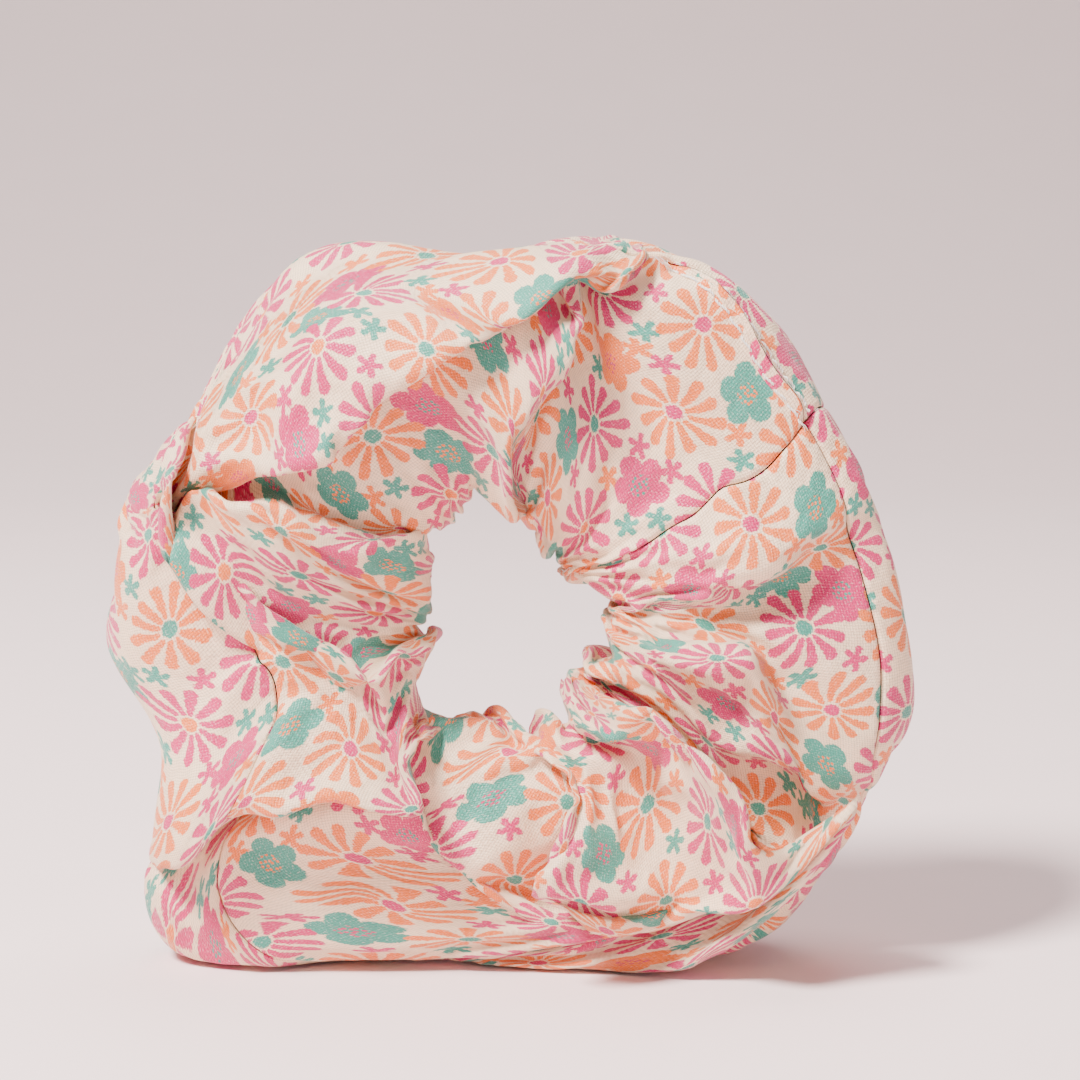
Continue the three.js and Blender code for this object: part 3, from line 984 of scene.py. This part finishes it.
def uv_millimetres(tree, name):
    uv = tree.node("ShaderNodeUVMap", {"uv_map": name}, {}).out("UV")
    return tree.vector("MULTIPLY", uv, (1 / MM, 1 / MM, 0.0)).out(0)


def cloth_material(s, p):
    material = bpy.data.materials.new("flower_print")
    tree = Tree(material)
    cut = uv_millimetres(tree, "flat_cut")
    place = uv_millimetres(tree, "print")
    x, y, _ = tree.split(place)
    cut_x, cut_y, _ = tree.split(cut)
    wave = TAU / (p.thread_pitch / MM)
    uneven = tree.noise(place, 1.1, Detail=2.0)
    warp = (x * (wave / 2) + uneven * 1.1).maths("SINE")
    weft = (y * (wave / 2) + uneven * 1.3).maths("SINE")
    over = warp * weft
    warp_round = warp.maths("ABSOLUTE")
    weft_round = weft.maths("ABSOLUTE")
    crossing = over.step(-0.25, 0.25)
    lift = warp_round * crossing + weft_round * (1 - crossing)
    # Painted shade: a mask of the gaps between the threads, used only to darken the colour there.
    pore_shade = 1 - (warp_round * weft_round).step(0.0, 0.10)
    slub = tree.noise(place, 0.6, Detail=4.0, Roughness=0.7)

    colour = printed_colour(tree, place, p)
    # Painted light on the weave: thread tops (lift) lightened as a painted highlight, gaps darkened as
    # painted shade; the slub term is the yarn's own uneven tone.
    weave_light_and_slub = lift * 0.30 + 0.76 + (slub - 0.5) * 0.34 - pore_shade * 0.16
    weave_light_and_slub_grey = tree.node("ShaderNodeCombineColor", {}, {"Red": weave_light_and_slub, "Green": weave_light_and_slub,
                                                    "Blue": weave_light_and_slub}).out(0)
    colour = tree.mix_colour(1.0, colour, weave_light_and_slub_grey, "MULTIPLY")
    # Partly gaps in the ink and partly a painted glint: pale cream specks, only on the raised thread
    # tops (lift), stand in for the satin's sparkle.
    flecks = tree.noise(place, 3.4, Detail=2.0)
    pale = flecks.step(0.50, 0.72) * lift * 0.38
    colour = tree.mix_colour(pale, colour, (0.97, 0.88, 0.78, 1.0))

    length, girth = s.cut_length / MM, s.girth / MM
    near_long = cut_y.maths("MINIMUM", girth - cut_y).maths("ABSOLUTE")
    near_cross = cut_x.maths("MINIMUM", length - cut_x).maths("ABSOLUTE")
    stitch_wave = TAU / 2.8
    pucker = (cut_x * stitch_wave).maths("SINE") * (1 - near_long.step(0.3, 4.5))
    pucker = pucker + (cut_y * stitch_wave).maths("SINE") * (1 - near_cross.step(0.3, 4.0))
    crinkle = tree.noise(place, 0.28, Detail=3.0)
    height = lift * 0.10 + pucker * 0.08 + crinkle * 0.8 + slub * 0.12
    tree.surface({
        "Base Color": colour,
        "Roughness": 0.60 - lift * 0.16 + (slub - 0.5) * 0.12,
        "Normal": tree.bumped(0.8, MM, height),
        "Sheen Weight": 0.35,
        "Sheen Roughness": 0.35,
        "Sheen Tint": (1.0, 0.9, 0.84, 1.0),
        "Specular IOR Level": 0.55,
    })
    return material


def thread_material(t):
    material = bpy.data.materials.new("sewing_thread")
    tree = Tree(material)
    place = tree.node("ShaderNodeTexCoord", {}, {}).out("Object")
    fibre = tree.noise(place, 5200.0, Detail=3.0)
    tree.surface({
        "Base Color": tree.mix_colour(fibre, with_alpha(t.colour, 0.82), with_alpha(t.colour, 1.1)),
        "Roughness": fibre * 0.25 + 0.45,
        "Normal": tree.bumped(0.5, 0.1 * MM, fibre),
        "Sheen Weight": 0.3,
    })
    return material


def elastic_material(t):
    """Flat braid: ribs along the loop and a fine herringbone across them."""
    material = bpy.data.materials.new("braided_elastic")
    tree = Tree(material)
    place = tree.node("ShaderNodeTexCoord", {}, {}).out("Object")
    x, y, z = tree.split(place)
    around = (z - RING_MIDDLE[2]).maths("ARCTAN2", x)
    ribs = (y * (TAU / 0.0009)).maths("SINE")
    braid = (around * 150 + ribs * 0.9).maths("SINE")
    height = ribs * 0.6 + braid * 0.4
    # Painted light: the braid's ribs are lightened and its grooves darkened in the base colour,
    # following the bump's height, as painted highlight and painted shade.
    rib_light_and_groove_shade = height.step(-1.0, 1.0)
    tree.surface({
        "Base Color": tree.mix_colour(rib_light_and_groove_shade, with_alpha(t.elastic, 0.72), with_alpha(t.elastic, 1.08)),
        "Roughness": rib_light_and_groove_shade * -0.15 + 0.85,
        "Normal": tree.bumped(0.6, 0.2 * MM, height),
    })
    return material


def material_for(name, maker, *settings):
    return bpy.data.materials.get(name) or maker(*settings)


# ---- Placing and joining pieces -------------------------------------------------------------


def deselect_all():
    bpy.ops.object.select_all(action="DESELECT")


def make_active(piece):
    deselect_all()
    piece.select_set(True)
    bpy.context.view_layer.objects.active = piece


def dress(piece, material):
    """Gives the piece one material, in place of any that it has."""
    piece.data.materials.clear()
    piece.data.materials.append(material)


def stretches(piece, slot_name, *nodes):
    """Hides the CAD nodes that the piece stands for and bakes the piece's transform into its mesh."""
    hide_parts(*nodes)
    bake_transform(piece)


def thread_piece(name, runs, radius, material):
    """Thread along runs of points, in metres, as one mesh of round closed strands."""
    deselect_all()
    bpy.ops.curve.primitive_bezier_curve_add()
    piece = bpy.context.object
    piece.name = name
    curve = piece.data
    curve.splines.clear()
    curve.dimensions = "3D"
    for run, share in runs:
        spline = curve.splines.new("POLY")
        spline.points.add(len(run) - 1)
        for point, place in zip(spline.points, run):
            point.co = (*place, 1)
            point.radius = share
    curve.bevel_depth = radius
    curve.bevel_resolution = 1
    curve.use_fill_caps = True
    make_active(piece)
    bpy.ops.object.convert(target="MESH")
    piece = bpy.context.object
    dress(piece, material)
    bpy.ops.object.shade_smooth()
    return piece


def twisted(path, radius, pitch):
    """Two plies wound round a path, as runs of points with their share of the radius."""
    path = np.asarray(path)
    along = unit(np.gradient(path, axis=0))
    across = unit(np.cross(along, [0.3, 0.8, 0.5]))
    other = np.cross(along, across)
    gone = distance_along(path)
    runs = []
    for ply in (0, math.pi):
        angle = (gone / pitch * TAU + ply)[:, None]
        wound = path + radius * 0.5 * (np.cos(angle) * across + np.sin(angle) * other)
        runs.append((wound.tolist(), 0.58))
    return runs


def resampled(path, step):
    path = np.asarray(path)
    gone = distance_along(path)
    count = max(4, int(gone[-1] / step))
    places = np.linspace(0, gone[-1], count)
    return np.stack([np.interp(places, gone, path[:, k]) for k in range(3)], 1)


# The sewn sheet's points and the places of its lines, for the threads that follow it.
SEWN = {}


def cloth_point(u, v, proud):
    """A point over the sewn sheet at flat-cut millimetres u, v, proud of it by millimetres."""
    sheet, u_places, v_places = SEWN["sheet"], SEWN["u"], SEWN["v"]
    i = int(np.clip(np.searchsorted(u_places, u) - 1, 0, len(u_places) - 2))
    j = int(np.clip(np.searchsorted(v_places, v) - 1, 0, len(v_places) - 2))
    fu = (u - u_places[i]) / (u_places[i + 1] - u_places[i])
    fv = (v - v_places[j]) / (v_places[j + 1] - v_places[j])
    a, b = sheet[i, j], sheet[i + 1, j]
    c, d = sheet[i, j + 1], sheet[i + 1, j + 1]
    place = (a * (1 - fu) + b * fu) * (1 - fv) + (c * (1 - fu) + d * fu) * fv
    normal = unit(np.cross((b - a) + (d - c), (c - a) + (d - b)))
    metres = (place + normal * proud) * MM
    return metres + np.array([0, 0, RING_MIDDLE[2]])


# ---- Operators ---------------------------------------------------------------------------------

class SCRUNCHIE_OT_sleeve(bpy.types.Operator):
    """Sew, gather and relax the printed cloth sleeve"""
    bl_idname = "scrunchie.sleeve"
    bl_label = "Cloth sleeve"

    def execute(self, context):
        s = context.scene.scrunchie_sleeve
        points, pleat, from_rim = gathered_shape(s)
        flat = flat_lengths_shape(s, from_rim)
        points = relax_as_cloth(s, points, flat, pleat, from_rim)
        points = clear_of_elastic(fitted(points), CLEAR_OF_ELASTIC)
        along = print_places(s, points, from_rim)
        across = print_heights(s, points, from_rim)
        sheet, u_places, v_places, printed = sewn_sheet(s, points, along, across)
        SEWN.update(sheet=sheet, u=u_places, v=v_places)
        mesh = sheet_mesh("sleeve", sheet, u_places, v_places, printed, s)
        sleeve = bpy.data.objects.new("sleeve", mesh)
        context.collection.objects.link(sleeve)
        make_active(sleeve)
        bpy.ops.object.mode_set(mode="EDIT")
        bpy.ops.mesh.select_all(action="SELECT")
        bpy.ops.mesh.delete_loose()
        bpy.ops.object.mode_set(mode="OBJECT")
        finer = sleeve.modifiers.new("finer", "SUBSURF")
        finer.levels = finer.render_levels = 1
        bpy.ops.object.modifier_apply(modifier=finer.name)
        bpy.ops.object.shade_smooth()
        sleeve.data.materials.append(
            material_for("flower_print", cloth_material, s, context.scene.scrunchie_print))
        width = s.girth + 2 * s.allowance
        length = s.cut_length + 2 * s.allowance
        stretches(sleeve, "printed_cloth", "sleeve_held_half", "sleeve_pulled_half")
        return {"FINISHED"}


class SCRUNCHIE_OT_closing_stitches(bpy.types.Operator):
    """Topstitch the slit that the elastic went in through, and leave its thread ends"""
    bl_idname = "scrunchie.closing_stitches"
    bl_label = "Closing topstitch"

    def execute(self, context):
        t = context.scene.scrunchie_thread
        s = context.scene.scrunchie_sleeve
        material = material_for("sewing_thread", thread_material, t)
        girth = s.girth / MM
        pitch = t.stitch / MM
        inset, proud, depth, sway = 1.5, 0.22, 0.55, 0.12
        count = int(CLOSING_LENGTH / 0.25)
        for name, node, v, has_ends in (
                ("topstitch_needle_thread", "closing_needle_thread", inset, True),
                ("topstitch_bobbin_thread", "closing_bobbin_thread", girth - inset, False)):
            path = []
            for k in range(count + 1):
                u = 0.8 + (CLOSING_LENGTH - 1.2) * k / count
                phase = (u / pitch) % 1
                dip = math.exp(-((phase - 0.5) / 0.1) ** 2)
                path.append(cloth_point(u, v + sway * math.sin(TAU * phase), proud - depth * dip))
            runs = twisted(resampled(path, 0.18 * MM), t.radius, 1.1 * MM)
            if has_ends:
                runs += loose_ends(v)
            piece = thread_piece(name, runs, t.radius, material)
            stretches(piece, "thread", node)
        return {"FINISHED"}


def loose_ends(v):
    """Fine frayed fibres at both ends of the topstitch."""
    rng = random.Random(5)
    runs = []
    for u_start, way, count in ((CLOSING_LENGTH - 0.6, 1, 5), (0.9, -1, 4)):
        for _ in range(count):
            length = rng.uniform(2.0, 5.5)
            drift = rng.uniform(-0.5, 0.5)
            curl = rng.uniform(-1.2, 1.2)
            height = rng.uniform(0.4, 1.3)
            run = []
            for k in range(14):
                f = k / 13
                u = u_start + way * length * f * math.cos(drift)
                across = v + length * f * math.sin(drift) + curl * f * f
                run.append(cloth_point(u, across, 0.15 + height * math.sin(2.6 * f)).tolist())
            runs.append((run, 0.22))
    return runs


class SCRUNCHIE_OT_hidden_seams(bpy.types.Operator):
    """Sew the long seam and the cross seam, inside the sleeve"""
    bl_idname = "scrunchie.hidden_seams"
    bl_label = "Hidden seams"

    def execute(self, context):
        t = context.scene.scrunchie_thread
        s = context.scene.scrunchie_sleeve
        material = material_for("sewing_thread", thread_material, t)
        length, girth = s.cut_length / MM, s.girth / MM
        below, margin, sway = -0.9, 2, 0.16
        long_steps, cross_steps = 500, 200
        sewn = length - CLOSING_LENGTH - 2 * margin
        start = CLOSING_LENGTH + margin
        long_path = [cloth_point(start + sewn * k / long_steps, below, sway * math.sin(k * 1.1))
                     for k in range(long_steps + 1)]
        cross_path = [cloth_point(below, margin + (girth - 2 * margin) * k / cross_steps,
                                  sway * math.sin(k * 1.1)) for k in range(cross_steps + 1)]
        long_seam = thread_piece("long_seam_thread", [(long_path, 0.7)], t.radius, material)
        stretches(long_seam, "thread", "long_seam_thread_held_half",
                  "long_seam_thread_pulled_half")
        cross_seam = thread_piece("cross_seam_stitching", [(cross_path, 0.7)], t.radius, material)
        stretches(cross_seam, "thread", "cross_seam_thread")
        return {"FINISHED"}


def copy_of_node(node, name):
    """A merged copy of a CAD node's mesh, selected and active."""
    deselect_all()
    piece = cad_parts[node].copy()
    piece.data = piece.data.copy()
    piece.name = name
    for key in list(piece.keys()):
        del piece[key]
    bpy.context.collection.objects.link(piece)
    piece.parent = None
    make_active(piece)
    bpy.ops.object.mode_set(mode="EDIT")
    bpy.ops.mesh.select_all(action="SELECT")
    bpy.ops.mesh.remove_doubles(threshold=0.00001)
    bpy.ops.mesh.dissolve_limited(angle_limit=math.radians(1))
    bpy.ops.object.mode_set(mode="OBJECT")
    return piece


class SCRUNCHIE_OT_elastic(bpy.types.Operator):
    """Make the flat braided elastic loop and the tack through its ends"""
    bl_idname = "scrunchie.elastic"
    bl_label = "Elastic loop"

    def execute(self, context):
        t = context.scene.scrunchie_thread
        band = copy_of_node("elastic_loop", "elastic_band")
        rounding = band.modifiers.new("rounding", "BEVEL")
        rounding.width = 0.00025
        rounding.segments = 2
        bpy.ops.object.modifier_apply(modifier=rounding.name)
        bpy.ops.object.shade_smooth_by_angle(angle=math.radians(40))
        dress(band, material_for("braided_elastic", elastic_material, t))
        stretches(band, "elastic", "elastic_loop")
        tack = copy_of_node("elastic_tack_thread", "elastic_tack_stitches")
        bpy.ops.object.shade_smooth()
        dress(tack, material_for("sewing_thread", thread_material, t))
        stretches(tack, "thread", "elastic_tack_thread")
        return {"FINISHED"}


class SCRUNCHIE_OT_stage(bpy.types.Operator):
    """Add the pale floor, the soft lights and the camera"""
    bl_idname = "scrunchie.stage"
    bl_label = "Studio"

    def execute(self, context):
        g = context.scene.scrunchie_stage
        self.floor(g)
        aside, above = 0.0046, 0.0100
        target = Vector((aside, RING_MIDDLE[1], RING_MIDDLE[2] + above))
        self.light("key_light", (-0.45, -0.38, 0.80), 0.24, 31.0, (1.0, 0.97, 0.93))
        self.light("fill_light", (0.60, -0.60, 0.30), 0.60, 1.9, (1.0, 0.93, 0.92))
        self.light("top_light", (0.10, 0.20, 0.80), 0.50, 4.0, (1.0, 0.99, 0.98))
        world = context.scene.world or bpy.data.worlds.new("studio")
        context.scene.world = world
        world.use_nodes = True
        background = world.node_tree.nodes["Background"]
        background.inputs["Color"].default_value = (1.0, 0.955, 0.95, 1.0)
        background.inputs["Strength"].default_value = 0.27
        camera = bpy.data.cameras.new("camera")
        camera.lens = g.lens
        camera.sensor_width = 36
        camera.clip_start = 0.01
        view = bpy.data.objects.new("camera", camera)
        context.collection.objects.link(view)
        distance = g.view_width * g.lens / camera.sensor_width
        away = Vector((0, -math.cos(g.elevation), math.sin(g.elevation)))
        view.location = target + away * distance
        view.rotation_euler = (-away).to_track_quat("-Z", "Y").to_euler()
        context.scene.camera = view
        return {"FINISHED"}

    def floor(self, g):
        deselect_all()
        bpy.ops.curve.primitive_bezier_curve_add()
        sweep = bpy.context.object
        sweep.name = "floor"
        sweep.data.splines.clear()
        sweep.data.dimensions = "2D"
        sweep.data.extrude = 10.0
        front_edge, bend_start, bend, wall_top = -14.0, 0.5, 0.9, 4.0
        turned_up = 16
        line = sweep.data.splines.new("POLY")
        line.points.add(turned_up + 2)
        line.points[0].co = (front_edge, 0, 0, 1)
        for k in range(turned_up + 1):
            angle = k / turned_up * math.pi / 2
            back, up = bend_start + bend * math.sin(angle), bend * (1 - math.cos(angle))
            line.points[k + 1].co = (back, up, 0, 1)
        line.points[turned_up + 2].co = (bend_start + bend, wall_top, 0, 1)
        sweep.rotation_euler = (math.radians(90), 0, math.radians(90))
        make_active(sweep)
        bpy.ops.object.convert(target="MESH")
        ground = bpy.context.object
        bpy.ops.object.transform_apply(location=True, rotation=True, scale=True)
        bpy.ops.object.shade_smooth()
        material = bpy.data.materials.new("floor")
        tree = Tree(material)
        place = tree.node("ShaderNodeTexCoord", {}, {}).out("Object")
        grain = tree.noise(place, 30.0)
        colour = tree.mix_colour(grain, with_alpha(g.floor, 0.985), with_alpha(g.floor, 1.015))
        tree.surface({"Base Color": colour, "Roughness": 0.8})
        dress(ground, material)

    def light(self, name, place, size, power, colour):
        data = bpy.data.lights.new(name, "AREA")
        data.shape = "DISK"
        data.size = size
        data.energy = power
        data.color = colour
        lamp = bpy.data.objects.new(name, data)
        bpy.context.collection.objects.link(lamp)
        lamp.location = place
        aim = Vector(RING_MIDDLE) - lamp.location
        lamp.rotation_euler = aim.to_track_quat("-Z", "Y").to_euler()


class SCRUNCHIE_PT_panel(bpy.types.Panel):
    """The scrunchie's pieces, in the order in which they are made"""
    bl_idname = "SCRUNCHIE_PT_panel"
    bl_label = "Scrunchie"
    bl_space_type = "VIEW_3D"
    bl_region_type = "UI"
    bl_category = "Scrunchie"

    def draw(self, context):
        for name in OPERATOR_NAMES:
            self.layout.operator(f"scrunchie.{name}")
        for group in GROUPS:
            box = self.layout.box()
            settings = getattr(context.scene, group)
            for prop in settings.bl_rna.properties:
                if prop.identifier not in ("rna_type", "name"):
                    box.prop(settings, prop.identifier)


OPERATOR_NAMES = ("sleeve", "closing_stitches", "hidden_seams", "elastic", "stage")
GROUPS = {
    "scrunchie_sleeve": SleeveSettings,
    "scrunchie_print": PrintSettings,
    "scrunchie_thread": ThreadSettings,
    "scrunchie_stage": StageSettings,
}
CLASSES = (*GROUPS.values(), SCRUNCHIE_OT_sleeve, SCRUNCHIE_OT_closing_stitches,
           SCRUNCHIE_OT_hidden_seams, SCRUNCHIE_OT_elastic, SCRUNCHIE_OT_stage,
           SCRUNCHIE_PT_panel)


def register():
    for cls in CLASSES:
        bpy.utils.register_class(cls)
    for name, cls in GROUPS.items():
        setattr(bpy.types.Scene, name, PointerProperty(type=cls))


def unregister():
    for name in GROUPS:
        delattr(bpy.types.Scene, name)
    for cls in reversed(CLASSES):
        bpy.utils.unregister_class(cls)


def main():
    register()
    for name in OPERATOR_NAMES:
        getattr(bpy.ops.scrunchie, name)()


if __name__ == "__main__":
    main()
